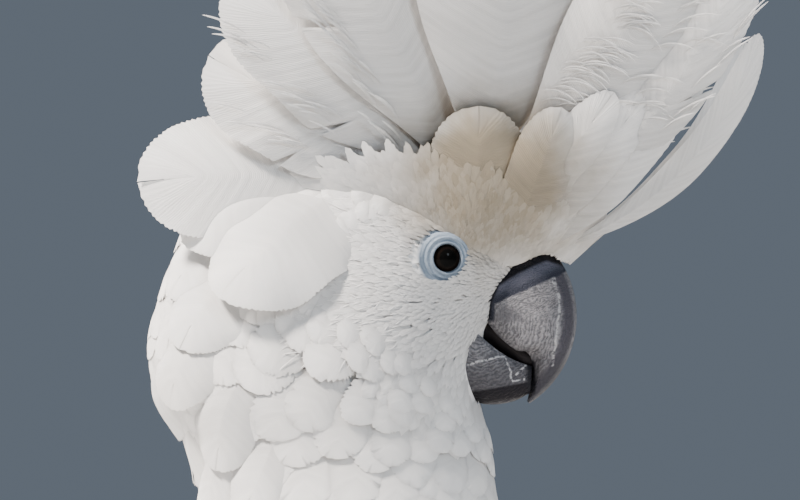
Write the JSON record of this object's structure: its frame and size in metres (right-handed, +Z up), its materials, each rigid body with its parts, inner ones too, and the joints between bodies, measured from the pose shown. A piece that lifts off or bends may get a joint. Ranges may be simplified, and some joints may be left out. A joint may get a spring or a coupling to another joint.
{
  "type": "life-size white cockatoo figure",
  "caption": "White cockatoo standing with its broad crest raised and fanned, its folded wings and tail swept back, and its hooked grey bill slightly open.",
  "frame": {"origin": "on the floor, under the middle of the bird's bounding box", "axes": "+X the way the bird faces, +Y to its left, +Z up from the floor"},
  "size_m": [0.4188, 0.1196, 0.4328],
  "materials": {
    "plumage": "matt white feathers",
    "horn": "dark grey bill and claws, powdery and satin",
    "iris": "near-black wet gloss",
    "leg_skin": "dull grey scaly skin"
  },
  "bodies": {
    "root": {"claw_left_inner_back": "horn", "claw_left_inner_front": "horn", "claw_left_outer_back": "horn", "claw_left_outer_front": "horn", "claw_right_inner_back": "horn", "claw_right_inner_front": "horn", "claw_right_outer_back": "horn", "claw_right_outer_front": "horn", "crest_left_1": "plumage", "crest_left_2": "plumage", "crest_left_3": "plumage", "crest_left_4": "plumage", "crest_left_5": "plumage", "crest_left_6": "plumage", "crest_left_7": "plumage", "crest_left_8": "plumage", "crest_middle_1": "plumage", "crest_middle_2": "plumage", "crest_middle_3": "plumage", "crest_middle_4": "plumage", "crest_middle_5": "plumage", "crest_right_1": "plumage", "crest_right_2": "plumage", "crest_right_3": "plumage", "crest_right_4": "plumage", "crest_right_5": "plumage", "crest_right_6": "plumage", "crest_right_7": "plumage", "crest_right_8": "plumage", "eye_left": "iris", "eye_right": "iris", "head": "plumage", "lower_bill": "horn", "neck": "plumage", "tail": "plumage", "tarsus_left": "leg_skin", "tarsus_right": "leg_skin", "thigh_left": "plumage", "thigh_right": "plumage", "toe_left_inner_back": "leg_skin", "toe_left_inner_front": "leg_skin", "toe_left_outer_back": "leg_skin", "toe_left_outer_front": "leg_skin", "toe_right_inner_back": "leg_skin", "toe_right_inner_front": "leg_skin", "toe_right_outer_back": "leg_skin", "toe_right_outer_front": "leg_skin", "trunk": "plumage", "upper_bill": "horn", "wing_left_coverts": "plumage", "wing_left_primaries": "plumage", "wing_left_secondaries": "plumage", "wing_right_coverts": "plumage", "wing_right_primaries": "plumage", "wing_right_secondaries": "plumage"}
  },
  "joints": []
}
